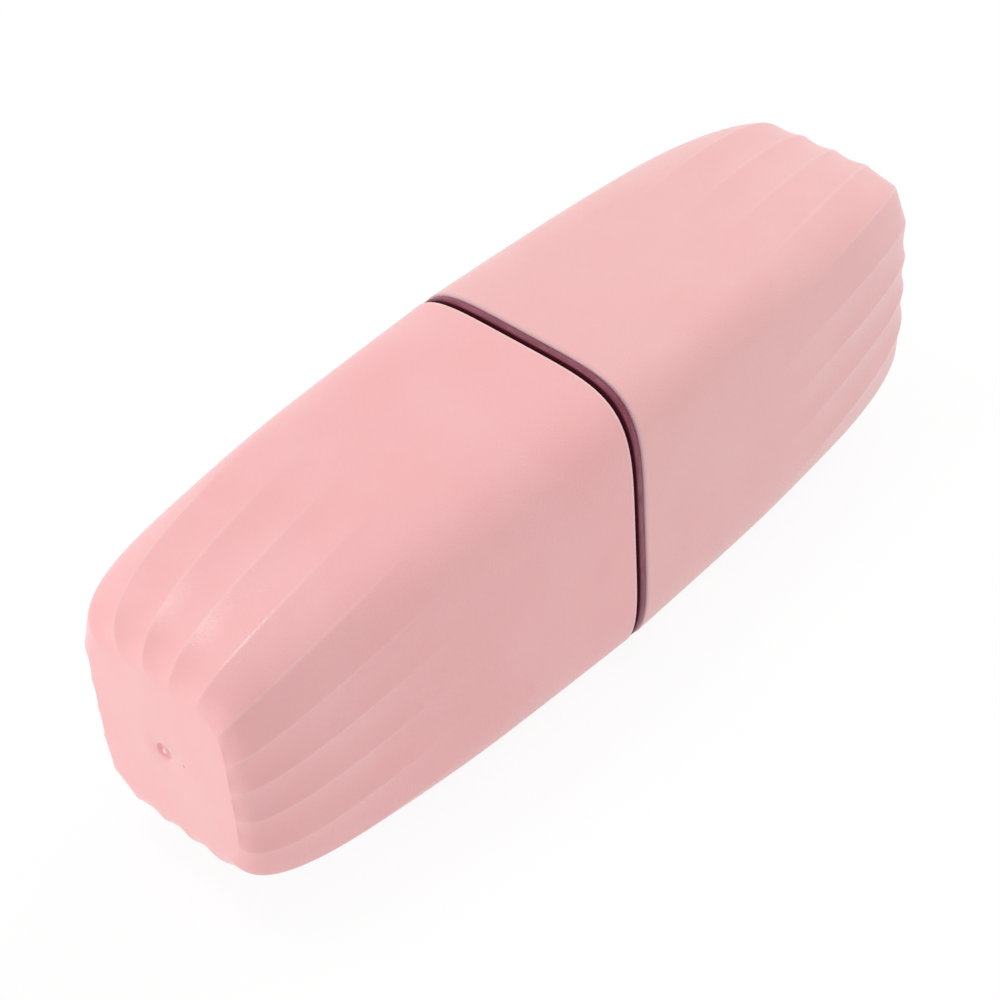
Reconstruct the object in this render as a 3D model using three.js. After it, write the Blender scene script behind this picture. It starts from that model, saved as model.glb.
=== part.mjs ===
// Travel toothbrush case: two fluted cups that meet mouth to mouth over a coupling collar.
// Millimetres, +Z up. The case lies along X with its cap towards -X; the origin is under its middle.

import * as THREE from 'three';

// Outside of the cups
const cupLength = 103.5; // rim to flat end, each cup
const bandWidth = 3.0; // slit between the two rims, where the collar's bead shows
const seamWidth = 63.7; // outside width across Y at the rims
const seamHeight = 75.1; // outside height across Z at the rims
const endWidth = 38.7; // flat end face, across Y
const endHeight = 41.2; // flat end face, across Z
const rimPower = 4.8; // superellipse power of the section at the rims: 2 is an ellipse, higher is squarer
const endPower = 5.6; // superellipse power of the flat end's outline
const draft = 2.3; // straight inward fall of every side from rim to end, besides the shoulder's
const widthPower = 3.23; // superellipse power of the width's fall from rim to end
const widthCut = 0.998; // share of that fall at which the flat end cuts it off
const heightPower = 3.73; // superellipse power of the height's fall from rim to end
const heightCut = 0.9998; // share of that fall at which the flat end cuts it off

// Inside of the cups
const wall = 2.0; // side wall at the rim
const endWall = 2.4; // thickness of the flat end
const floorInset = 2.6; // how far the inside floor stays within the end face's outline

// Flutes
const fluteCount = 20; // round each cup
const fluteDepth = 0.55; // crest to hollow, at the shoulder
const fluteLength = 64; // reach of the flutes from the flat end
const fluteRunOut = 42; // stretch over which a flute sinks from nothing to its full depth
const fluteTip = 3.5; // sideways stretch next to the flat end over which a flute runs out again
const fluteSwirl = 0.2; // turn of the crests, degrees per millimetre along X
const endTurn = 3.6; // degrees that the crests turn further where the shoulder bends over to the flat end
const flutePhase = 8.4; // where one crest crosses mid-length, degrees from +Y
const sideSpread = 3.3; // degrees; this and the next keep crests even along the outline, not by angle
const cornerCrowd = 1.8; // degrees

// Gate mark in the middle of each flat end
const gateRadius = 2.3;
const gateDepth = 0.5;
const nubRadius = 0.6;
const nubHeight = 0.35;

// Collar
const collarWall = 1.6; // skirt thickness
const neckReach = 16; // skirt length inside the cap
const seatReach = 12; // skirt length inside the base cup
const slideClearance = 0.6; // between the skirt and the cap's inside
const seatGap = 0.3; // between pieces that bear on each other
const tipChamfer = 0.6; // lead-in at both ends of the skirt
const beadDrop = 0.8; // how far the bead lies under the cap's rim
const beadFlush = 0.15; // how far the bead lies under the base cup's rim
const gripHeight = 0.3; // low ring on the neck that rubs inside the cap
const gripWidth = 2.4;
const gripSetback = 9; // from the cap's rim
const snapHeight = 0.7; // ring on the skirt that snaps into the base cup's groove
const snapWidth = 2.4;
const snapSetback = 6; // from the base cup's rim

// Facets
const pointsPerFlute = 4;
const outerSteps = 12;
const innerSteps = 7;
const beadSteps = 4;

const pink = 0xf0babb;
const plum = 0x8e4a58;

const { degToRad, smoothstep } = THREE.MathUtils;
const pointsRound = fluteCount * pointsPerFlute;
const axisHeight = seamHeight / 2;
const rimX = bandWidth / 2;

// How much of the rim's size is left at a share of the length: 1 at the rim, 0 at the flat end.
function fall(share, power, cut) {
  const curve = (s) => (1 - s ** power) ** (1 / power);
  const atEnd = curve(cut);
  return (curve(cut * share) - atEnd) / (1 - atEnd);
}

// Half sizes and power of the outside's section at a share of the length, and the mean that is left.
function sectionAt(share) {
  const widthLeft = fall(share, widthPower, widthCut);
  const heightLeft = fall(share, heightPower, heightCut);
  const left = (widthLeft + heightLeft) / 2;
  const straight = draft * (1 - share);
  return {
    left,
    halfWidth: (endWidth + (seamWidth - 2 * draft - endWidth) * widthLeft) / 2 + straight,
    halfHeight: (endHeight + (seamHeight - 2 * draft - endHeight) * heightLeft) / 2 + straight,
    power: endPower + (rimPower - endPower) * left,
  };
}

// Polar radius of a section that is taken in by an inset all round.
function sectionRadius(angle, section, inset) {
  const across = Math.abs(Math.cos(angle) / (section.halfWidth - inset)) ** section.power;
  const upward = Math.abs(Math.sin(angle) / (section.halfHeight - inset)) ** section.power;
  return (across + upward) ** (-1 / section.power);
}

// Shares of the length, closer together where the shoulder bends, from the rim to the flat end.
function lengthShares(steps) {
  const power = (widthPower + heightPower) / 2;
  const shares = [];
  for (let i = 0; i <= steps; i++) {
    shares.push(Math.sin((Math.PI / 2) * (i / steps)) ** (2 / power));
  }
  return shares;
}

// Depth of a flute at a share of the length, for a place across it: 0 on a crest, 0.5 in the hollow.
function fluteSink(share, place) {
  const start = cupLength - fluteLength;
  const rise = (seamWidth / 2 - draft - endWidth / 2) * sectionAt(share).left;
  const tip = 1 - Math.max(0, 1 - rise / fluteTip) ** 2;
  const run = smoothstep(share * cupLength, start, start + fluteRunOut) * tip;
  return fluteDepth * run * (1 - (2 * place - 1) ** 2);
}

// Degrees that the crests have turned at X, where the given mean of the rim's size is left.
function crestTurn(x, left) {
  return -fluteSwirl * x - Math.sign(x) * endTurn * (1 - left) ** 2;
}

// Angle of a point on a ring whose crests have turned by some degrees.
function columnAngle(i, turn) {
  const even = degToRad(flutePhase + turn + (360 * i) / pointsRound);
  return even + degToRad(sideSpread) * Math.sin(2 * even) + degToRad(cornerCrowd) * Math.sin(4 * even);
}

// One closed ring of points at X, from a radius for each point's angle and number.
function ring(x, turn, radiusAt) {
  const points = [];
  for (let i = 0; i < pointsRound; i++) {
    const angle = columnAngle(i, turn);
    const radius = radiusAt(angle, i);
    points.push(new THREE.Vector3(x, radius * Math.cos(angle), axisHeight + radius * Math.sin(angle)));
  }
  return points;
}

// A single point on the axis, where a skin closes.
function pole(x) {
  return [new THREE.Vector3(x, 0, axisHeight)];
}

// Skin through a list of rings and poles, facing out where the outside's rings run towards +X.
// A looped skin joins its last ring to its first.
function skin(rings, looped) {
  const starts = [];
  const positions = [];
  for (const points of rings) {
    starts.push(positions.length / 3);
    points.forEach((point) => positions.push(point.x, point.y, point.z));
  }
  const at = (r, i) => starts[r] + (i % rings[r].length);
  const faces = [];
  const lastBand = looped ? rings.length : rings.length - 1;
  for (let r = 0; r < lastBand; r++) {
    const next = (r + 1) % rings.length;
    for (let i = 0; i < pointsRound; i++) {
      if (rings[r].length > 1) {
        faces.push(at(r, i), at(r, i + 1), at(next, i));
      }
      if (rings[next].length > 1) {
        faces.push(at(r, i + 1), at(next, i + 1), at(next, i));
      }
    }
  }
  const geometry = new THREE.BufferGeometry();
  geometry.setAttribute('position', new THREE.Float32BufferAttribute(positions, 3));
  geometry.setIndex(faces);
  geometry.computeVertexNormals();
  return geometry;
}

// Rings of a cup's fluted outside, from the gate mark in the flat end to the rim.
function cupOutside(side) {
  const place = (depth) => side * (rimX + depth);
  const endX = place(cupLength);
  const floorX = place(cupLength - gateDepth);
  const turned = crestTurn(endX, 0);
  const rings = [
    pole(place(cupLength - gateDepth + nubHeight)),
    ring(floorX, turned, () => nubRadius),
    ring(floorX, turned, () => gateRadius - gateDepth),
    ring(endX, turned, () => gateRadius),
  ];
  for (const share of lengthShares(outerSteps).reverse()) {
    const section = sectionAt(share);
    const sink = (i) => fluteSink(share, (i % pointsPerFlute) / pointsPerFlute);
    const x = place(share * cupLength);
    const turn = crestTurn(x, section.left);
    rings.push(ring(x, turn, (angle, i) => sectionRadius(angle, section, 0) - sink(i)));
  }
  return rings;
}

// Rings of a cup's plain inside, from the rim to the floor. Near the rim it has stops: depths and groove depths.
function cupInside(side, stops) {
  const place = (depth) => side * (rimX + depth);
  const turn = crestTurn(place(0), 1);
  const insideLength = cupLength - endWall;
  const insideRing = (depth, groove) => {
    const section = sectionAt(depth / insideLength);
    const inset = floorInset + (wall - floorInset) * section.left - groove;
    return ring(place(depth), turn, (angle) => sectionRadius(angle, section, inset));
  };
  const rings = stops.map(([depth, groove]) => insideRing(depth, groove));
  for (const share of lengthShares(innerSteps).slice(1)) {
    rings.push(insideRing(share * insideLength, 0));
  }
  rings.push(pole(place(insideLength)));
  return rings;
}

// A cup as one closed skin. The side is -1 for the cap and 1 for the base.
function cupGeometry(side, stops) {
  const rings = [...cupOutside(side), ...cupInside(side, stops)];
  return skin(side < 0 ? rings : rings.reverse(), false);
}

// Three points of a low ring that stands out of the skirt.
function lowRing(x, width, inset, height) {
  return [
    [x - width / 2, inset],
    [x, inset - height],
    [x + width / 2, inset],
  ];
}

// The collar's section as points of X and inset from the cups' outside, from the neck's tip to the seat's.
function collarSection() {
  const neckInset = wall + slideClearance;
  const seatInset = wall + seatGap;
  const boreInset = neckInset + collarWall;
  const neckTip = -rimX - neckReach;
  const seatTip = rimX + seatReach;
  const beadLow = -rimX + seatGap;
  const beadHigh = rimX - seatGap;
  const section = [
    [neckTip, neckInset + tipChamfer],
    [neckTip + tipChamfer, neckInset],
    ...lowRing(-rimX - gripSetback, gripWidth, neckInset, gripHeight),
    [beadLow, neckInset],
  ];
  for (let i = 0; i <= beadSteps; i++) {
    const turn = (Math.PI / 2) * (i / beadSteps);
    const x = beadLow + (beadHigh - beadLow) * (1 - Math.cos(turn));
    section.push([x, beadDrop - (beadDrop - beadFlush) * Math.sin(turn)]);
  }
  section.push([beadHigh, seatInset]);
  section.push(...lowRing(rimX + snapSetback, snapWidth, seatInset, snapHeight));
  section.push([seatTip - tipChamfer, seatInset]);
  section.push([seatTip, seatInset + tipChamfer]);
  section.push([seatTip, boreInset]);
  section.push([neckTip, boreInset]);
  return section;
}

function collarGeometry() {
  const rings = collarSection().map(([x, inset]) => {
    const section = sectionAt(Math.max(0, Math.abs(x) - rimX) / cupLength);
    return ring(x, 0, (angle) => sectionRadius(angle, section, inset));
  });
  return skin(rings, true);
}

function piece(name, geometry, color, roughness) {
  const material = new THREE.MeshStandardMaterial({ color, roughness, metalness: 0 });
  const mesh = new THREE.Mesh(geometry, material);
  mesh.name = name;
  return mesh;
}

const capStops = [
  [0, 0],
  [neckReach, 0],
];
const baseStops = [
  [0, 0],
  [snapSetback - snapWidth / 2, 0],
  [snapSetback, snapHeight],
  [snapSetback + snapWidth / 2, 0],
  [seatReach, 0],
];

const toothbrushCase = new THREE.Group();
toothbrushCase.add(piece('cap_cup', cupGeometry(-1, capStops), pink, 0.5));
toothbrushCase.add(piece('base_cup', cupGeometry(1, baseStops), pink, 0.5));
toothbrushCase.add(piece('neck_collar', collarGeometry(), plum, 0.35));

export default toothbrushCase;
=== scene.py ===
"""Travel toothbrush case: two fluted cups over a coupling collar, with a stage to show them on.

Laid out as a Blender add-on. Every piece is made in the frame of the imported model, in metres.
"""

import math
from types import SimpleNamespace

import bmesh
import bpy
from bpy.props import FloatProperty, FloatVectorProperty, IntProperty, PointerProperty
from mathutils import Matrix, Vector


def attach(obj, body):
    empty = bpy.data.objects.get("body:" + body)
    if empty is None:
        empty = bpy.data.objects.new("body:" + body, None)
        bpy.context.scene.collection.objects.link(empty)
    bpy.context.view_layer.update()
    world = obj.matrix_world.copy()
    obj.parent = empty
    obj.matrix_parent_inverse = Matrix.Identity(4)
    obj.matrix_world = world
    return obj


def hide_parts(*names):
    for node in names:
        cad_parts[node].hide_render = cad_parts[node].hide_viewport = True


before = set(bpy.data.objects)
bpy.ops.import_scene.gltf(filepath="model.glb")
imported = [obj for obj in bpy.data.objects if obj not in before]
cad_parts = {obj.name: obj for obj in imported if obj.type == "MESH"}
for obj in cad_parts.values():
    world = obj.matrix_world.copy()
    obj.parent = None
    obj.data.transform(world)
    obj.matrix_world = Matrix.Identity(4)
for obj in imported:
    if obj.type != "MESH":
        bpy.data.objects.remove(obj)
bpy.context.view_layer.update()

bl_info = {
    "name": "Toothbrush Case",
    "version": (1, 0, 0),
    "blender": (4, 5, 0),
    "location": "View3D > Sidebar > Case",
    "description": "Builds a fluted two-cup toothbrush case and its stage",
    "category": "Add Mesh",
}

COLUMNS_PER_FLUTE = 16
CREST_GATHER = 0.78  # how strongly the columns gather at the crests: 0 is even
CAP_LIP_ROUND = 0.0004
BASE_LIP_ROUND = 0.0005
RIM_PAINTED_HIGHLIGHT = 3.2  # how strongly the rim's edge is painted pale as a highlight: 1 is a flute's crest
NUB_WHITENING_AND_HIGHLIGHT = 3.6  # how pale the cut-off gate is painted: stress whitening and a painted highlight
MERGE_DISTANCE = 1e-6


# Sizes and colours

def length(name, millimetres, description):
    """A length property, written in millimetres and kept in metres."""
    return FloatProperty(
        name=name,
        description=description,
        default=millimetres / 1000,
        min=0.0,
        precision=5,
        subtype="DISTANCE",
        unit="LENGTH",
    )


def angle(name, degrees, description):
    """An angle property, written in degrees and kept in radians."""
    return FloatProperty(
        name=name, description=description, default=math.radians(degrees), subtype="ANGLE", unit="ROTATION"
    )


def number(name, value, description):
    """A plain number property."""
    return FloatProperty(name=name, description=description, default=value, precision=4)


def watts(name, value, description):
    """A lamp's power."""
    return FloatProperty(name=name, description=description, default=value, min=0.0, unit="POWER")


def colour(name, red, green, blue, description):
    """A colour property, written as the 0 to 255 values of a picture and kept as linear light."""
    linear = [((c / 255 + 0.055) / 1.055) ** 2.4 for c in (red, green, blue)]
    return FloatVectorProperty(
        name=name, description=description, default=linear, size=3, min=0.0, max=1.0, subtype="COLOR"
    )


class CupSizes(bpy.types.PropertyGroup):
    """Sizes of the two cups."""

    cup_length: length("Cup Length", 103.5, "Rim to flat end of each cup")
    band_width: length("Band Width", 3.0, "Slit between the two rims")
    seam_width: length("Seam Width", 63.7, "Outside width at the rims")
    seam_height: length("Seam Height", 75.1, "Outside height at the rims")
    end_width: length("End Width", 38.7, "Width of the flat end")
    end_height: length("End Height", 41.2, "Height of the flat end")
    rim_power: number("Rim Power", 4.8, "Squareness of the section at the rims: 2 is an ellipse")
    end_power: number("End Power", 5.6, "Squareness of the flat end's outline")
    draft: length("Draft", 2.3, "Straight inward fall of every side from rim to end")
    width_power: number("Width Power", 3.23, "Fullness of the width's fall from rim to end")
    width_cut: number("Width Cut", 0.998, "Share of that fall at which the flat end cuts it off")
    height_power: number("Height Power", 3.73, "Fullness of the height's fall from rim to end")
    height_cut: number("Height Cut", 0.9998, "Share of that fall at which the flat end cuts it off")
    # The edge strip carries the rim's painted highlight.
    edge_width: length("Edge Width", 0.35, "Rubbed edge of the outside next to the rim's round")
    wall: length("Wall", 2.0, "Thickness of the side wall at the rim")
    end_wall: length("End Wall", 2.4, "Thickness of the flat end")
    floor_inset: length("Floor Inset", 2.6, "How far the inside floor stays within the end's outline")
    gate_radius: length("Gate Radius", 2.3, "Dimple round the moulding gate in the flat end")
    gate_depth: length("Gate Depth", 0.9, "Depth of the dimple")
    nub_radius: length("Nub Radius", 0.75, "Cut-off gate in the middle of the dimple")
    nub_height: length("Nub Height", 0.85, "How far the cut-off gate stands up")


class FluteSizes(bpy.types.PropertyGroup):
    """Sizes of the flutes round each cup."""

    flute_count: IntProperty(name="Flute Count", description="Flutes round each cup", default=20, min=3)
    flute_depth: length("Flute Depth", 0.55, "Crest to hollow at the shoulder")
    flute_length: length("Flute Length", 64, "Reach of the flutes from the flat end")
    flute_run_out: length("Flute Run-Out", 42, "Stretch over which a flute sinks to its full depth")
    flute_tip: length("Flute Tip", 3.5, "Sideways stretch next to the flat end where a flute runs out")
    flute_turn: angle("Flute Turn", 42.0, "Even turn of a crest from one flat end of the case to the other")
    end_turn: angle("End Turn", 3.6, "Further turn where the shoulder bends over to a flat end")
    flute_phase: angle("Flute Phase", 8.4, "Where one crest crosses mid-length, from the +Y side")
    side_spread: angle("Side Spread", 3.3, "Opens the spacing on the narrow sides")
    corner_crowd: angle("Corner Crowd", 1.8, "Closes the spacing at the corners")
    crest_round: number("Crest Round", 0.025, "Rounding of a crest as a share of the flute's width")


class CollarSizes(bpy.types.PropertyGroup):
    """Sizes of the coupling collar."""

    collar_wall: length("Collar Wall", 1.6, "Thickness of the skirt")
    neck_reach: length("Neck Reach", 16, "Skirt inside the cap")
    seat_reach: length("Seat Reach", 12, "Skirt inside the base cup")
    slide_clearance: length("Slide Clearance", 0.6, "Between the skirt and the cap's inside")
    seat_gap: length("Seat Gap", 0.3, "Between the skirt and the base cup's inside")
    tip_chamfer: length("Tip Chamfer", 0.6, "Lead-in at both ends of the skirt")
    slit_width: length("Slit Width", 1.25, "Open slit between the cap's rim and the bead")
    bead_top: length("Bead Top", 0.14, "How far the bead's top lies under the rims")
    bead_rise: length("Bead Rise", 0.6, "Rise of the bead's round top")
    bead_power: number("Bead Power", 2.8, "Fullness of the bead's round top: 2 is an ellipse")
    corner_round: length("Corner Round", 0.3, "Broken corners of the collar's section")
    bead_gap: length("Bead Gap", 0.1, "Between the bead and the base cup's rim")
    grip_height: length("Grip Height", 0.3, "Low ring that rubs inside the cap")
    grip_width: length("Grip Width", 2.4, "Width of the low ring")
    grip_setback: length("Grip Setback", 9, "Low ring from the cap's rim")
    snap_height: length("Snap Height", 0.7, "Ring that snaps into the base cup's groove")
    snap_width: length("Snap Width", 2.4, "Width of the snap ring")
    snap_setback: length("Snap Setback", 6, "Snap ring from the base cup's rim")


class CaseFinishes(bpy.types.PropertyGroup):
    """Colours of the mouldings, and how far two of them reach."""

    cap_pink: colour("Cap Pink", 248, 182, 183, "Satin plastic of the cap")
    base_pink: colour("Base Pink", 244, 185, 184, "Satin plastic of the base cup")
    # Pale pink for worn crests and lips, also used as a painted highlight on crests, rim and cut-off gate.
    crest_pink: colour("Crest Pink", 252, 218, 217, "Rubbed plastic along the crests and lips")
    speck: colour("Speck", 150, 92, 92, "Specks of dust in the plastic")
    # Painted reflection: the plum collar's light painted onto the base cup's lip.
    lip_plum_reflection: colour("Lip Mauve", 210, 160, 169, "Plum showing through the base cup's lip")
    plum_reflection_reach: length("Mauve Reach", 1.4, "Reach of the plum's glow from the base cup's rim")
    plum: colour("Plum", 148, 76, 96, "Smooth plastic of the collar's bead")
    plum_deep: colour("Deep Plum", 126, 60, 78, "Darker flow streaks in the bead")
    # Painted shade: the skirt is darkened where it lies in the slit's shade.
    plum_shade: colour("Plum Shade", 92, 34, 48, "Darker plastic of the skirt, down in the slit")
    painted_shade_fade: length("Shade Fade", 0.2, "Change from the skirt's plum to the bead's")


class CaseStage(bpy.types.PropertyGroup):
    """Camera and lights."""

    azimuth: angle("Azimuth", -44.194, "Turn of the line of sight away from +Y")
    elevation: angle("Elevation", 42.555, "Line of sight below the horizon")
    roll: angle("Roll", -4.387, "Roll of the camera")
    distance: length("Distance", 595.96, "Camera to the middle of the case")
    slide_right: FloatProperty(
        name="Slide Right", description="Camera moved to its right", default=-0.0064372, subtype="DISTANCE"
    )
    slide_up: FloatProperty(
        name="Slide Up", description="Camera moved up its own axis", default=-0.0056465, subtype="DISTANCE"
    )
    focal: FloatProperty(
        name="Focal Length", description="Lens on a 36 mm wide sensor", default=100.437, unit="CAMERA"
    )
    top_lamp: watts("Top Lamp", 1.9, "Small lamp overhead, for the highlights")
    back_lamp: watts("Back Lamp", 2.4, "Large lamp behind the base cup")
    end_lamp: watts("End Lamp", 2.8, "Low lamp on the side of the cap's end")
    side_lamp: watts("Side Lamp", 0.65, "Low lamp in front of the case's side")
    ambient: number("Ambient", 0.57, "Even light from all round")


class ToothbrushCase(bpy.types.PropertyGroup):
    """Everything a user can change on the case."""

    cups: PointerProperty(type=CupSizes, name="Cups", description="Sizes of the cups")
    flutes: PointerProperty(type=FluteSizes, name="Flutes", description="Sizes of the flutes")
    collar: PointerProperty(type=CollarSizes, name="Collar", description="Sizes of the collar")
    finishes: PointerProperty(type=CaseFinishes, name="Finishes", description="Colours")
    stage: PointerProperty(type=CaseStage, name="Stage", description="Camera and lights")


def own_properties(group):
    """The properties that a property group adds itself."""
    return [p for p in group.bl_rna.properties if p.identifier not in {"rna_type", "name"}]


# Arithmetic in node trees

def feed(tree, socket, value):
    """Links a worked-out number to a socket, or writes a plain one on it."""
    if isinstance(value, Number):
        tree.links.new(value.socket, socket)
    else:
        socket.default_value = value


def add_node(tree, kind):
    """A new node, set out in rows in the order of making."""
    node = tree.nodes.new(kind)
    count = len(tree.nodes)
    node.location = (180 * (count % 16), -190 * (count // 16))
    return node


def work_out(tree, operation, *values):
    """One Math node over numbers and sockets."""
    node = add_node(tree, "ShaderNodeMath")
    node.operation = operation
    for socket, value in zip(node.inputs, values):
        feed(tree, socket, value)
    return Number(tree, node.outputs[0])


class Number:
    """A number in a node tree. Ordinary arithmetic on it adds Math nodes."""

    def __init__(self, tree, socket):
        self.tree = tree
        self.socket = socket

    def __add__(self, other):
        return work_out(self.tree, "ADD", self, other)

    def __radd__(self, other):
        return work_out(self.tree, "ADD", other, self)

    def __sub__(self, other):
        return work_out(self.tree, "SUBTRACT", self, other)

    def __rsub__(self, other):
        return work_out(self.tree, "SUBTRACT", other, self)

    def __mul__(self, other):
        return work_out(self.tree, "MULTIPLY", self, other)

    def __rmul__(self, other):
        return work_out(self.tree, "MULTIPLY", other, self)

    def __truediv__(self, other):
        return work_out(self.tree, "DIVIDE", self, other)

    def __rtruediv__(self, other):
        return work_out(self.tree, "DIVIDE", other, self)

    def __pow__(self, other):
        return work_out(self.tree, "POWER", self, other)

    def __abs__(self):
        return work_out(self.tree, "ABSOLUTE", self)

    def sin(self):
        return work_out(self.tree, "SINE", self)

    def cos(self):
        return work_out(self.tree, "COSINE", self)

    def arcsin(self):
        return work_out(self.tree, "ARCSINE", self)

    def at_least(self, other):
        return work_out(self.tree, "MAXIMUM", self, other)

    def to_nearest_whole(self):
        return work_out(self.tree, "PINGPONG", self, 0.5)

    def step(self, low, high):
        """Rises smoothly from 0 at low to 1 at high."""
        node = add_node(self.tree, "ShaderNodeMapRange")
        node.interpolation_type = "SMOOTHSTEP"
        for socket, value in zip(node.inputs, (self, low, high, 0.0, 1.0)):
            feed(self.tree, socket, value)
        return Number(self.tree, node.outputs[0])


# Cups

def cup_tree(groups):
    """The node tree of a cup's closed skin, with an input for every size in the groups."""
    tree = bpy.data.node_groups.new("Cup Skin", "GeometryNodeTree")
    tree.interface.new_socket("Skin", in_out="OUTPUT", socket_type="NodeSocketGeometry")
    sizes = [prop for group in groups for prop in own_properties(group)]
    own_inputs = ["Side", "Lip Round", "Groove Depth", "Groove Setback", "Groove Width"]
    for name in own_inputs + [prop.name for prop in sizes]:
        tree.interface.new_socket(name, in_out="INPUT", socket_type="NodeSocketFloat")
    tree.interface.new_socket("Finish", in_out="INPUT", socket_type="NodeSocketMaterial")
    entry = add_node(tree, "NodeGroupInput")
    read = lambda name: Number(tree, entry.outputs[name])
    s = SimpleNamespace(**{prop.identifier: read(prop.name) for prop in sizes})
    s.side = read("Side")
    s.lip = read("Lip Round")
    s.groove_depth = read("Groove Depth")
    s.groove_setback = read("Groove Setback")
    s.groove_width = read("Groove Width")
    s.rim = s.band_width / 2
    s.end = s.rim + s.cup_length
    s.swirl = s.flute_turn / (s.end * 2)
    s.bend_power = (s.width_power + s.height_power) / 2
    s.shoulder_width = s.seam_width - s.draft * 2 - s.end_width
    s.shoulder_height = s.seam_height - s.draft * 2 - s.end_height

    strips = [
        (12, gate_point),
        (8, face_point),
        (112, shoulder_point),
        (2, edge_point),
        (4, outer_round_point),
        (2, rim_point),
        (4, inner_round_point),
        (24, mouth_point),
        (32, inside_point),
        (5, floor_point),
    ]
    patches = [patch(tree, s, rows, point) for rows, point in strips]
    join = add_node(tree, "GeometryNodeJoinGeometry")
    for geometry in reversed(patches):
        tree.links.new(geometry, join.inputs[0])
    merge = add_node(tree, "GeometryNodeMergeByDistance")
    merge.inputs["Distance"].default_value = MERGE_DISTANCE
    smooth = add_node(tree, "GeometryNodeSetShadeSmooth")
    realize = add_node(tree, "GeometryNodeRealizeInstances")
    finish = add_node(tree, "GeometryNodeSetMaterial")
    leave = add_node(tree, "NodeGroupOutput")
    tree.links.new(join.outputs[0], merge.inputs[0])
    tree.links.new(merge.outputs[0], smooth.inputs[0])
    tree.links.new(smooth.outputs[0], realize.inputs[0])
    tree.links.new(realize.outputs[0], finish.inputs[0])
    tree.links.new(entry.outputs["Finish"], finish.inputs["Material"])
    tree.links.new(finish.outputs[0], leave.inputs[0])
    return tree


def patch(tree, s, rows, point):
    """A strip of the skin: a grid whose points go to the X, radius and angle that point gives.

    point takes the sizes, the place along the strip and the place round the cup, both 0 to 1.
    It may give a fourth number, kept as an attribute of wear and painted highlight.
    """
    grid = add_node(tree, "GeometryNodeMeshGrid")
    grid.inputs["Size X"].default_value = 1.0
    grid.inputs["Size Y"].default_value = 1.0
    grid.inputs["Vertices X"].default_value = rows + 1
    feed(tree, grid.inputs["Vertices Y"], s.flute_count * COLUMNS_PER_FLUTE + 1)
    here = add_node(tree, "GeometryNodeInputPosition")
    split = add_node(tree, "ShaderNodeSeparateXYZ")
    tree.links.new(here.outputs[0], split.inputs[0])
    along = Number(tree, split.outputs["X"]) + 0.5
    around = Number(tree, split.outputs["Y"]) + 0.5
    x, radius, turn, *wear_and_highlight = point(s, along, around)
    skin = grid.outputs["Mesh"]
    if wear_and_highlight:
        store = add_node(tree, "GeometryNodeStoreNamedAttribute")
        store.data_type = "FLOAT"
        store.domain = "POINT"
        store.inputs["Name"].default_value = "wear_and_highlight"
        tree.links.new(skin, store.inputs["Geometry"])
        feed(tree, store.inputs["Value"], wear_and_highlight[0])
        skin = store.outputs["Geometry"]
    place = add_node(tree, "ShaderNodeCombineXYZ")
    feed(tree, place.inputs["X"], x)
    feed(tree, place.inputs["Y"], radius * turn.cos())
    feed(tree, place.inputs["Z"], s.seam_height / 2 + radius * turn.sin())
    move = add_node(tree, "GeometryNodeSetPosition")
    tree.links.new(skin, move.inputs["Geometry"])
    tree.links.new(place.outputs[0], move.inputs["Position"])
    return move.outputs["Geometry"]


def along_axis(s, depth):
    """X at a depth from the rim."""
    return s.side * (s.rim + depth)


def flutes_across(s, around):
    """Flutes counted round the cup, with the columns gathered at the crests."""
    even = around * s.flute_count
    return even - (even * math.tau).sin() * (CREST_GATHER / math.tau)


def column_turn(s, around, depth, left):
    """Angle of a column whose crests are turned to suit a depth and what is left of the rim's size."""
    round_cup = s.side * flutes_across(s, around) * math.tau / s.flute_count
    bent = s.side * s.end_turn * (1 - left.mean) ** 2
    even = s.flute_phase - s.swirl * along_axis(s, depth) - bent + round_cup
    return even + s.side_spread * (even * 2).sin() + s.corner_crowd * (even * 4).sin()


def fall(share, power, cut):
    """How much of the rim's size is left at a share of the length: 1 at the rim, 0 at the end."""
    at_end = (1 - cut**power) ** (1 / power)
    return ((1 - (cut * share) ** power) ** (1 / power) - at_end) / (1 - at_end)


def fall_rate(share, power, cut):
    """How fast that falls for each share of the length."""
    at_end = (1 - cut**power) ** (1 / power)
    reach = cut * share
    return cut * reach ** (power - 1) * (1 - reach**power) ** (1 / power - 1) / (1 - at_end)


def section_left(s, share):
    """What is left of the shoulder's width and height at a share of the length, and of the draft."""
    width = fall(share, s.width_power, s.width_cut)
    height = fall(share, s.height_power, s.height_cut)
    return SimpleNamespace(width=width, height=height, mean=(width + height) / 2, straight=1 - share)


AT_RIM = SimpleNamespace(width=1.0, height=1.0, mean=1.0, straight=1.0)
AT_END = SimpleNamespace(width=0.0, height=0.0, mean=0.0, straight=0.0)


def section_radius(s, turn, left, inset):
    """Polar radius of the cup's section, taken in by an inset all round."""
    taken = s.draft * left.straight - inset
    half_width = (s.end_width + s.shoulder_width * left.width) / 2 + taken
    half_height = (s.end_height + s.shoulder_height * left.height) / 2 + taken
    power = s.end_power + (s.rim_power - s.end_power) * left.mean
    across = abs(turn.cos()) ** power
    upward = (abs(turn.sin()) * half_width / half_height) ** power
    return half_width * (across + upward) ** (-1 / power)


def share_at(s, turn):
    """Share of the length at a turn of the shoulder's curve."""
    return turn.sin() ** (2 / s.bend_power)


def turn_at(s, share):
    """Turn of the shoulder's curve at a share of the length."""
    return (share ** (s.bend_power / 2)).arcsin()


def shoulder_lean(s, share, turn):
    """Inward fall of the shoulder for each step along the axis."""
    inward = s.shoulder_width * fall_rate(share, s.width_power, s.width_cut)
    downward = s.shoulder_height * fall_rate(share, s.height_power, s.height_cut)
    upward = turn.sin() ** 2
    bend = (inward * (1 - upward) + downward * upward) / 2
    return (bend + s.draft) / s.cup_length


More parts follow.
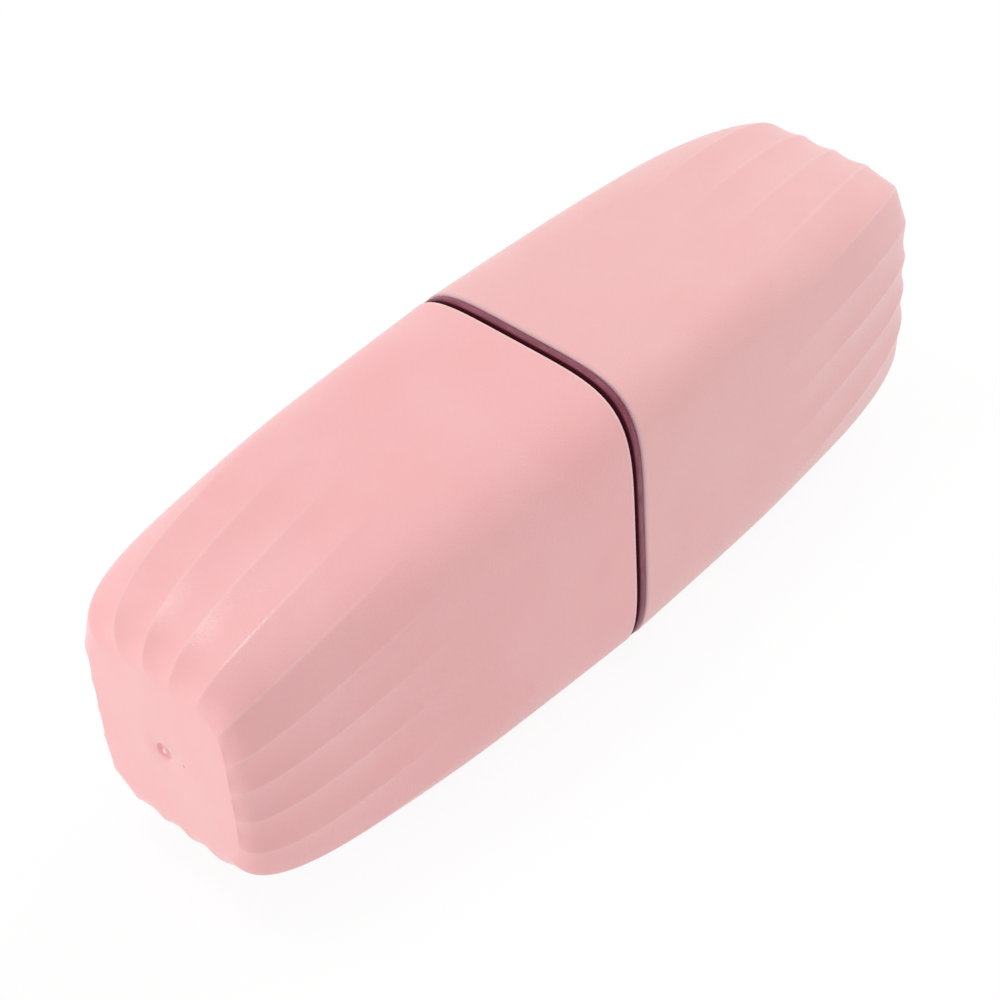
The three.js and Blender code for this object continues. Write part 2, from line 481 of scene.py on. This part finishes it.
def gate_point(s, v, u):
    """The gate mark, from the middle of the flat end outwards."""
    radius = s.gate_radius * v
    dip = s.gate_depth * (1 - radius.step(s.gate_radius - s.gate_depth, s.gate_radius))
    standing = 1 - radius.step(s.nub_radius * 0.4, s.nub_radius * 1.3)
    x = along_axis(s, s.cup_length - dip + s.nub_height * standing)
    return x, radius, column_turn(s, u, s.cup_length, AT_END), standing * NUB_WHITENING_AND_HIGHLIGHT


def face_point(s, v, u):
    """The flat end, from the gate mark to the edge, with its rows drawn together at the edge."""
    turn = column_turn(s, u, s.cup_length, AT_END)
    edge = section_radius(s, turn, AT_END, 0.0)
    reach = 1 - (1 - v) * (1 - v)
    return along_axis(s, s.cup_length), s.gate_radius + (edge - s.gate_radius) * reach, turn


def shoulder_point(s, v, u):
    """The fluted outside, from the flat end's edge to the lip."""
    first = turn_at(s, (s.lip + s.edge_width) / s.cup_length)
    share = share_at(s, math.pi / 2 + (first - math.pi / 2) * v)
    depth = share * s.cup_length
    left = section_left(s, share)
    turn = column_turn(s, u, depth, left)
    start = s.cup_length - s.flute_length
    rise = s.shoulder_width / 2 * left.mean
    tip = (1 - rise / s.flute_tip).at_least(0.0)
    run = depth.step(start, start + s.flute_run_out) * (1 - tip * tip)
    across = flutes_across(s, u).to_nearest_whole()
    rounded = (across**2 + s.crest_round**2) ** 0.5 - s.crest_round
    sink = s.flute_depth * run * (rounded - rounded**2) * 4
    lean = shoulder_lean(s, share, turn)
    upright = (lean**2 + 1) ** -0.5
    # Crests painted paler: partly wear, partly a painted highlight.
    wear_and_highlight = run * run * (1 - across.step(0.0, 0.05))
    x = along_axis(s, depth - sink * lean * upright)
    return x, section_radius(s, turn, left, 0.0) - sink * upright, turn, wear_and_highlight


def edge_point(s, v, u):
    """The edge of the outside, from the shoulder to the rim's round, painted pale as a highlight."""
    depth = s.lip + s.edge_width * (1 - v)
    left = section_left(s, depth / s.cup_length)
    turn = column_turn(s, u, depth, left)
    return along_axis(s, depth), section_radius(s, turn, left, 0.0), turn, v * RIM_PAINTED_HIGHLIGHT


def lip_point(s, depth, inset, u):
    """The rim at a depth and an inset."""
    turn = column_turn(s, u, s.lip, AT_RIM)
    return along_axis(s, depth), section_radius(s, turn, AT_RIM, inset), turn


def outer_round_point(s, v, u):
    """The rim's outer round, painted pale as a highlight at its start."""
    bend = v * (math.pi / 2)
    x, radius, turn = lip_point(s, s.lip * (1 - bend.sin()), s.lip * (1 - bend.cos()), u)
    return x, radius, turn, (1 - v) * RIM_PAINTED_HIGHLIGHT


def rim_point(s, v, u):
    """The flat of the rim."""
    return lip_point(s, 0.0, s.lip + (s.wall - s.lip * 2) * v, u)


def inner_round_point(s, v, u):
    """The rim's inner round."""
    bend = v * (math.pi / 2)
    return lip_point(s, s.lip * (1 - bend.cos()), s.wall - s.lip * (1 - bend.sin()), u)


def mouth_point(s, v, u):
    """The inside near the rim, with the groove for the collar's snap ring."""
    inside_length = s.cup_length - s.end_wall
    depth = s.lip + (s.groove_setback * 2 - s.lip) * v
    left = section_left(s, depth / inside_length)
    groove = s.groove_depth * (1 - abs(depth - s.groove_setback) / (s.groove_width / 2)).at_least(0.0)
    inset = s.floor_inset + (s.wall - s.floor_inset) * left.mean - groove
    turn = column_turn(s, u, s.lip, AT_RIM)
    return along_axis(s, depth), section_radius(s, turn, left, inset), turn


def inside_point(s, v, u):
    """The inside from the mouth to the floor's edge."""
    inside_length = s.cup_length - s.end_wall
    first = turn_at(s, s.groove_setback * 2 / inside_length)
    share = share_at(s, first + (math.pi / 2 - first) * v)
    left = section_left(s, share)
    inset = s.floor_inset + (s.wall - s.floor_inset) * left.mean
    turn = column_turn(s, u, s.lip, AT_RIM)
    return along_axis(s, share * inside_length), section_radius(s, turn, left, inset), turn


def floor_point(s, v, u):
    """The inside of the flat end, from its edge to the middle."""
    turn = column_turn(s, u, s.lip, AT_RIM)
    edge = section_radius(s, turn, AT_END, s.floor_inset)
    return along_axis(s, s.cup_length - s.end_wall), edge * (1 - v * v), turn


def add_piece(name, mesh):
    """A piece's object at the origin."""
    piece = bpy.data.objects.new(name, mesh)
    bpy.context.scene.collection.objects.link(piece)
    return piece


def make_cup(name, tree, groups, inputs):
    """A cup as a plain mesh, from its node tree and the inputs that are its own."""
    piece = add_piece(name, bpy.data.meshes.new(name))
    modifier = piece.modifiers.new("Cup Skin", "NODES")
    modifier.node_group = tree
    values = {p.name: float(getattr(g, p.identifier)) for g in groups for p in own_properties(g)}
    values.update(inputs)
    for socket in tree.interface.items_tree:
        if socket.in_out == "INPUT":
            modifier[socket.identifier] = values[socket.name]
    graph = bpy.context.evaluated_depsgraph_get()
    mesh = bpy.data.meshes.new_from_object(piece.evaluated_get(graph), depsgraph=graph)
    piece.modifiers.remove(modifier)
    piece.data = mesh
    mesh.name = name
    return piece


# Collar

def rim_radius(cups, turn, inset):
    """Polar radius of the cups' section at the rims, taken in by an inset."""
    half_width = cups.seam_width / 2 - inset
    half_height = cups.seam_height / 2 - inset
    across = abs(math.cos(turn) / half_width) ** cups.rim_power
    upward = abs(math.sin(turn) / half_height) ** cups.rim_power
    return (across + upward) ** (-1 / cups.rim_power)


def low_ring(x, width, inset, height):
    """Points of a low round ring on the skirt."""
    points = []
    for i in range(9):
        share = i / 8
        points.append((x + width * (share - 0.5), inset - height * math.sin(math.pi * share) ** 2))
    return points


def collar_outline(cups, collar):
    """The collar's section as points of X and inset from the rims, from the neck's tip to the seat's."""
    rim = cups.band_width / 2
    neck = cups.wall + collar.slide_clearance
    seat = cups.wall + collar.seat_gap
    bore = neck + collar.collar_wall
    neck_tip = -rim - collar.neck_reach
    seat_tip = rim + collar.seat_reach
    bead_low = -rim + collar.slit_width
    bead_high = rim - collar.bead_gap
    chamfer = collar.tip_chamfer
    points = [(neck_tip, neck + chamfer), (neck_tip + chamfer, neck)]
    points += low_ring(-rim - collar.grip_setback, collar.grip_width, neck, collar.grip_height)
    corner = collar.corner_round
    steps = 32
    points += [(bead_low - corner, neck), (bead_low, neck - corner)]
    for i in range(steps + 1):
        across = -math.cos(math.pi * i / steps)
        x = (bead_low + bead_high) / 2 + across * (bead_high - bead_low) / 2
        height = (1 - abs(across) ** collar.bead_power) ** (1 / collar.bead_power)
        points.append((x, collar.bead_top + collar.bead_rise * (1 - height)))
    points += [(bead_high, seat - corner), (bead_high + corner, seat)]
    points += low_ring(rim + collar.snap_setback, collar.snap_width, seat, collar.snap_height)
    points += [(seat_tip - chamfer, seat), (seat_tip, seat + chamfer)]
    points += [(seat_tip, bore - corner), (seat_tip - corner, bore)]
    points += [(neck_tip + corner, bore), (neck_tip, bore - corner)]
    return points


def make_collar(name, cups, flutes, collar, columns):
    """The collar as rings of its section swept round the rims' outline."""
    outline = collar_outline(cups, collar)
    shape = bmesh.new()
    loops = []
    for i in range(columns):
        even = math.tau * i / columns
        turn = even + flutes.side_spread * math.sin(2 * even) + flutes.corner_crowd * math.sin(4 * even)
        loop = []
        for x, inset in outline:
            depth = max(0.0, abs(x) - cups.band_width / 2)
            radius = rim_radius(cups, turn, inset + cups.draft * depth / cups.cup_length)
            point = (x, radius * math.cos(turn), cups.seam_height / 2 + radius * math.sin(turn))
            loop.append(shape.verts.new(point))
        loops.append(loop)
    for i, loop in enumerate(loops):
        after = loops[(i + 1) % columns]
        for j in range(len(outline)):
            k = (j + 1) % len(outline)
            face = shape.faces.new((loop[j], loop[k], after[k], after[j]))
            face.smooth = True
    bmesh.ops.recalc_face_normals(shape, faces=shape.faces)
    mesh = bpy.data.meshes.new(name)
    shape.to_mesh(mesh)
    shape.free()
    mesh.set_sharp_from_angle(angle=math.radians(40))
    return add_piece(name, mesh)


# Materials

def shader_group(name, inputs, outputs):
    """An empty shader group with named number sockets, and a vector input."""
    tree = bpy.data.node_groups.new(name, "ShaderNodeTree")
    tree.interface.new_socket("Vector", in_out="INPUT", socket_type="NodeSocketVector")
    for socket in inputs:
        tree.interface.new_socket(socket, in_out="INPUT", socket_type="NodeSocketFloat")
    for socket in outputs:
        tree.interface.new_socket(socket, in_out="OUTPUT", socket_type="NodeSocketFloat")
    return tree, add_node(tree, "NodeGroupInput"), add_node(tree, "NodeGroupOutput")


def noise(tree, vector, scale, detail, roughness):
    """A noise texture's value."""
    node = add_node(tree, "ShaderNodeTexNoise")
    tree.links.new(vector, node.inputs["Vector"])
    feed(tree, node.inputs["Scale"], scale)
    node.inputs["Detail"].default_value = detail
    node.inputs["Roughness"].default_value = roughness
    return Number(tree, node.outputs[0])


def moulding_group():
    """What moulded plastic shows: a fine grain, slow clouds of shade and sparse specks."""
    tree, entry, leave = shader_group(
        "Moulded Surface", ["Grain Scale", "Cloud Scale", "Speck Scale"], ["Grain", "Cloud", "Speck"]
    )
    vector = entry.outputs["Vector"]
    read = lambda name: Number(tree, entry.outputs[name])
    grain = noise(tree, vector, read("Grain Scale"), 2.0, 0.6)
    cloud = noise(tree, vector, read("Cloud Scale"), 3.0, 0.55)
    cells = add_node(tree, "ShaderNodeTexVoronoi")
    tree.links.new(vector, cells.inputs["Vector"])
    feed(tree, cells.inputs["Scale"], read("Speck Scale"))
    pick = add_node(tree, "ShaderNodeSeparateColor")
    tree.links.new(cells.outputs["Color"], pick.inputs[0])
    near = 1 - Number(tree, cells.outputs["Distance"]).step(0.01, 0.035)
    chosen = Number(tree, pick.outputs[0]).step(0.55, 0.6)
    feed(tree, leave.inputs["Grain"], grain)
    feed(tree, leave.inputs["Cloud"], cloud)
    feed(tree, leave.inputs["Speck"], near * chosen)
    return tree


def blend_colour(tree, factor, first, second):
    """A mix of two colours, each a property's value or a socket."""
    node = add_node(tree, "ShaderNodeMix")
    node.data_type = "RGBA"
    feed(tree, node.inputs[0], factor)
    for socket, value in ((node.inputs[6], first), (node.inputs[7], second)):
        if isinstance(value, bpy.types.NodeSocket):
            tree.links.new(value, socket)
        else:
            socket.default_value = (*value, 1.0)
    return node.outputs[2]


def start_material(name, specular):
    """A material with its node tree, its shader and its Object coordinates."""
    material = bpy.data.materials.new(name)
    material.use_nodes = True
    tree = material.node_tree
    shader = tree.nodes["Principled BSDF"]
    shader.inputs["Specular IOR Level"].default_value = specular
    place = add_node(tree, "ShaderNodeTexCoord")
    return material, tree, shader, place.outputs["Object"]


def add_surface(tree, group, vector, grain, cloud, speck):
    """The moulded surface group with its own scales."""
    node = add_node(tree, "ShaderNodeGroup")
    node.node_tree = group
    tree.links.new(vector, node.inputs["Vector"])
    node.inputs["Grain Scale"].default_value = grain
    node.inputs["Cloud Scale"].default_value = cloud
    node.inputs["Speck Scale"].default_value = speck
    return {name: Number(tree, node.outputs[name]) for name in ("Grain", "Cloud", "Speck")}


def add_bump(tree, shader, height, distance):
    """A bump of the given height in metres on the shader's normal, whose socket it returns."""
    bump = add_node(tree, "ShaderNodeBump")
    bump.inputs["Strength"].default_value = 1.0
    bump.inputs["Distance"].default_value = distance
    feed(tree, bump.inputs["Height"], height)
    tree.links.new(bump.outputs[0], shader.inputs["Normal"])
    return bump.outputs[0]


def cup_plastic(name, group, pink, finishes, lip):
    """Satin pink plastic with a spark-eroded grain, and crests, rim and gate painted paler for wear and
    highlight. A lip, if given, is (X of the rim, reach of the painted plum reflection).
    """
    material, tree, shader, vector = start_material(name, 0.45)
    surface = add_surface(tree, group, vector, 2600.0, 55.0, 70.0)
    tint = surface["Cloud"].step(0.3, 0.75) * 0.12
    shade = blend_colour(tree, tint, pink, finishes.crest_pink)
    wear_and_highlight = add_node(tree, "ShaderNodeAttribute")
    wear_and_highlight.attribute_name = "wear_and_highlight"
    wear_and_highlight_level = Number(tree, wear_and_highlight.outputs["Fac"])
    # Paler where worn, and a painted highlight along crests, rim and cut-off gate.
    shade = blend_colour(tree, wear_and_highlight_level * 0.28, shade, finishes.crest_pink)
    if lip:
        split = add_node(tree, "ShaderNodeSeparateXYZ")
        tree.links.new(vector, split.inputs[0])
        rim, reach = lip
        # Painted reflection of the plum collar, fading from the base cup's rim.
        plum_reflection_mask = 1 - Number(tree, split.outputs["X"]).step(rim, rim + reach)
        shade = blend_colour(tree, plum_reflection_mask * 0.9, shade, finishes.lip_plum_reflection)
    shade = blend_colour(tree, surface["Speck"] * 0.45, shade, finishes.speck)
    tree.links.new(shade, shader.inputs["Base Color"])
    feed(tree, shader.inputs["Roughness"], (0.34 + surface["Grain"] * 0.1 - wear_and_highlight_level * 0.12).at_least(0.2))
    grain_normal = add_bump(tree, shader, surface["Grain"], 0.00007)
    tree.links.new(grain_normal, shader.inputs["Coat Normal"])
    shader.inputs["Coat Weight"].default_value = 0.28
    shader.inputs["Coat Roughness"].default_value = 0.09
    return material


def collar_plastic(name, group, finishes, bead_low):
    """Smooth plum plastic with soft flow streaks round the collar, and painted shade on the skirt down in the
    slit.
    """
    material, tree, shader, vector = start_material(name, 0.35)
    stretch = add_node(tree, "ShaderNodeMapping")
    stretch.inputs["Scale"].default_value = (6.0, 1.0, 1.0)
    tree.links.new(vector, stretch.inputs["Vector"])
    surface = add_surface(tree, group, vector, 1800.0, 120.0, 90.0)
    streak = noise(tree, stretch.outputs[0], 260.0, 2.0, 0.5)
    shade = blend_colour(tree, streak.step(0.35, 0.7), finishes.plum_deep, finishes.plum)
    shade = blend_colour(tree, surface["Speck"] * 0.3, shade, finishes.plum_deep)
    split = add_node(tree, "ShaderNodeSeparateXYZ")
    tree.links.new(vector, split.inputs[0])
    # Painted shade on the skirt, on the cap's side of the bead's low edge.
    slit_shade_mask = 1 - Number(tree, split.outputs["X"]).step(bead_low, bead_low + finishes.painted_shade_fade)
    shade = blend_colour(tree, slit_shade_mask, shade, finishes.plum_shade)
    tree.links.new(shade, shader.inputs["Base Color"])
    feed(tree, shader.inputs["Roughness"], 0.26 + surface["Cloud"] * 0.2)
    add_bump(tree, shader, streak + surface["Grain"] * 0.2, 0.00006)
    return material


# Stage

def white_to_the_eye(tree):
    """1 for rays that come from the camera, a reflection or a clear piece."""
    path = add_node(tree, "ShaderNodeLightPath")
    seen = Number(tree, path.outputs["Is Camera Ray"])
    seen = seen.at_least(Number(tree, path.outputs["Is Glossy Ray"]))
    return seen.at_least(Number(tree, path.outputs["Is Transmission Ray"]))


def make_floor():
    """A wide pale floor that looks white and keeps a faint shadow."""
    size = 3.0
    mesh = bpy.data.meshes.new("floor")
    corners = [(-size, -size, 0), (size, -size, 0), (size, size, 0), (-size, size, 0)]
    mesh.from_pydata(corners, [], [(0, 1, 2, 3)])
    material = bpy.data.materials.new("white_floor")
    material.use_nodes = True
    tree = material.node_tree
    shader = tree.nodes["Principled BSDF"]
    shader.inputs["Base Color"].default_value = (0.93, 0.93, 0.93, 1.0)
    shader.inputs["Roughness"].default_value = 1.0
    shader.inputs["Specular IOR Level"].default_value = 0.0
    glow = add_node(tree, "ShaderNodeEmission")
    glow.inputs["Strength"].default_value = 1.02
    mix = add_node(tree, "ShaderNodeMixShader")
    feed(tree, mix.inputs[0], white_to_the_eye(tree) * 0.9)
    tree.links.new(shader.outputs[0], mix.inputs[1])
    tree.links.new(glow.outputs[0], mix.inputs[2])
    tree.links.new(mix.outputs[0], tree.nodes["Material Output"].inputs["Surface"])
    mesh.materials.append(material)
    floor = add_piece("floor", mesh)


def make_world(ambient):
    """Even light from all round, and white where it is looked at."""
    world = bpy.data.worlds.new("studio")
    world.use_nodes = True
    tree = world.node_tree
    background = tree.nodes["Background"]
    background.inputs["Color"].default_value = (1.0, 1.0, 1.0, 1.0)
    seen = white_to_the_eye(tree)
    feed(tree, background.inputs["Strength"], seen * (1 - ambient) + ambient)
    bpy.context.scene.world = world


def make_lamp(name, place, target, power, size, mirrored):
    """A square area lamp aimed at a point. One that isn't mirrored gives no highlights."""
    data = bpy.data.lights.new(name, "AREA")
    data.energy = power
    data.size = size
    lamp = bpy.data.objects.new(name, data)
    bpy.context.scene.collection.objects.link(lamp)
    aim = (Vector(target) - Vector(place)).to_track_quat("-Z", "Y")
    lamp.matrix_world = Matrix.Translation(Vector(place)) @ aim.to_matrix().to_4x4()
    lamp.visible_glossy = mirrored


def make_camera(stage, middle):
    """The camera at the photograph's viewing angle."""
    az, el, roll = stage.azimuth, stage.elevation, stage.roll
    ahead = Vector((-math.sin(az) * math.cos(el), math.cos(az) * math.cos(el), -math.sin(el)))
    right = Vector((math.cos(az), math.sin(az), 0.0))
    up = right.cross(ahead)
    place = middle - ahead * stage.distance + right * stage.slide_right + up * stage.slide_up
    rolled_right = right * math.cos(roll) + up * math.sin(roll)
    rolled_up = up * math.cos(roll) - right * math.sin(roll)
    data = bpy.data.cameras.new("camera")
    data.sensor_width = 36.0
    data.lens = stage.focal
    data.clip_start = 0.01
    camera = bpy.data.objects.new("camera", data)
    bpy.context.scene.collection.objects.link(camera)
    turn = Matrix((rolled_right, rolled_up, -ahead)).transposed()
    camera.matrix_world = Matrix.Translation(place) @ turn.to_4x4()
    bpy.context.scene.camera = camera


# Operators and panel

class CASE_OT_cups(bpy.types.Operator):
    """Make the cap and the base cup from one node tree"""

    bl_idname = "toothbrush_case.cups"
    bl_label = "Make Cups"

    def execute(self, context):
        case = context.scene.toothbrush_case
        groups = (case.cups, case.flutes)
        tree = cup_tree(groups)
        groove = {"Groove Setback": case.collar.snap_setback, "Groove Width": case.collar.snap_width}
        surface = moulding_group()
        rim = case.cups.band_width / 2
        looks = case.finishes
        cap_pink = cup_plastic("cap_pink", surface, looks.cap_pink, looks, None)
        base_pink = cup_plastic("base_pink", surface, looks.base_pink, looks, (rim, looks.plum_reflection_reach))
        cap = make_cup("cap_shell", tree, groups, {
            "Side": -1.0, "Lip Round": CAP_LIP_ROUND, "Groove Depth": 0.0, **groove, "Finish": cap_pink,
        })
        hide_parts("cap_cup")
        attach(cap, "cap")
        groove["Groove Depth"] = case.collar.snap_height
        base = make_cup("base_shell", tree, groups, {
            "Side": 1.0, "Lip Round": BASE_LIP_ROUND, **groove, "Finish": base_pink,
        })
        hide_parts("base_cup")
        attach(base, "base")
        return {"FINISHED"}


class CASE_OT_collar(bpy.types.Operator):
    """Make the coupling collar with its bead, grip ring and snap ring"""

    bl_idname = "toothbrush_case.collar"
    bl_label = "Make Collar"

    def execute(self, context):
        case = context.scene.toothbrush_case
        surface = bpy.data.node_groups.get("Moulded Surface") or moulding_group()
        collar = make_collar("coupling_collar", case.cups, case.flutes, case.collar, 360)
        bead_low = case.collar.slit_width - case.cups.band_width / 2
        collar.data.materials.append(collar_plastic("collar_plum", surface, case.finishes, bead_low))
        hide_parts("neck_collar")
        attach(collar, "base")
        return {"FINISHED"}


class CASE_OT_stage(bpy.types.Operator):
    """Make the floor, the lights and the camera"""

    bl_idname = "toothbrush_case.stage"
    bl_label = "Make Stage"

    def execute(self, context):
        case = context.scene.toothbrush_case
        middle = Vector((0.0, 0.0, case.cups.seam_height / 2))
        make_floor()
        make_world(case.stage.ambient)
        make_lamp("top_lamp", (-0.17, 0.22, 0.99), middle, case.stage.top_lamp, 0.25, True)
        make_lamp("back_lamp", (0.65, 0.0, 0.78), middle, case.stage.back_lamp, 0.55, False)
        make_lamp("end_lamp", (-0.86, 0.46, 0.14), middle, case.stage.end_lamp, 0.24, False)
        make_lamp("side_lamp", (0.1, -0.97, 0.1), middle, case.stage.side_lamp, 0.18, False)
        make_camera(case.stage, middle)
        context.scene.view_settings.view_transform = "Standard"
        return {"FINISHED"}


class CASE_PT_panel(bpy.types.Panel):
    """Sizes, colours and makers of the toothbrush case"""

    bl_idname = "CASE_PT_panel"
    bl_label = "Toothbrush Case"
    bl_space_type = "VIEW_3D"
    bl_region_type = "UI"
    bl_category = "Case"

    def draw(self, context):
        case = context.scene.toothbrush_case
        for group in (case.cups, case.flutes, case.collar, case.finishes, case.stage):
            column = self.layout.box().column(align=True)
            for prop in own_properties(group):
                column.prop(group, prop.identifier)
        for operator in (CASE_OT_cups, CASE_OT_collar, CASE_OT_stage):
            self.layout.operator(operator.bl_idname)


CLASSES = (
    CupSizes,
    FluteSizes,
    CollarSizes,
    CaseFinishes,
    CaseStage,
    ToothbrushCase,
    CASE_OT_cups,
    CASE_OT_collar,
    CASE_OT_stage,
    CASE_PT_panel,
)


def register():
    for entry in CLASSES:
        bpy.utils.register_class(entry)
    bpy.types.Scene.toothbrush_case = PointerProperty(type=ToothbrushCase)


def unregister():
    del bpy.types.Scene.toothbrush_case
    for entry in reversed(CLASSES):
        bpy.utils.unregister_class(entry)


def main():
    """Makes the whole case and its stage."""
    register()
    bpy.ops.toothbrush_case.cups()
    bpy.ops.toothbrush_case.collar()
    bpy.ops.toothbrush_case.stage()


if __name__ == "__main__":
    main()
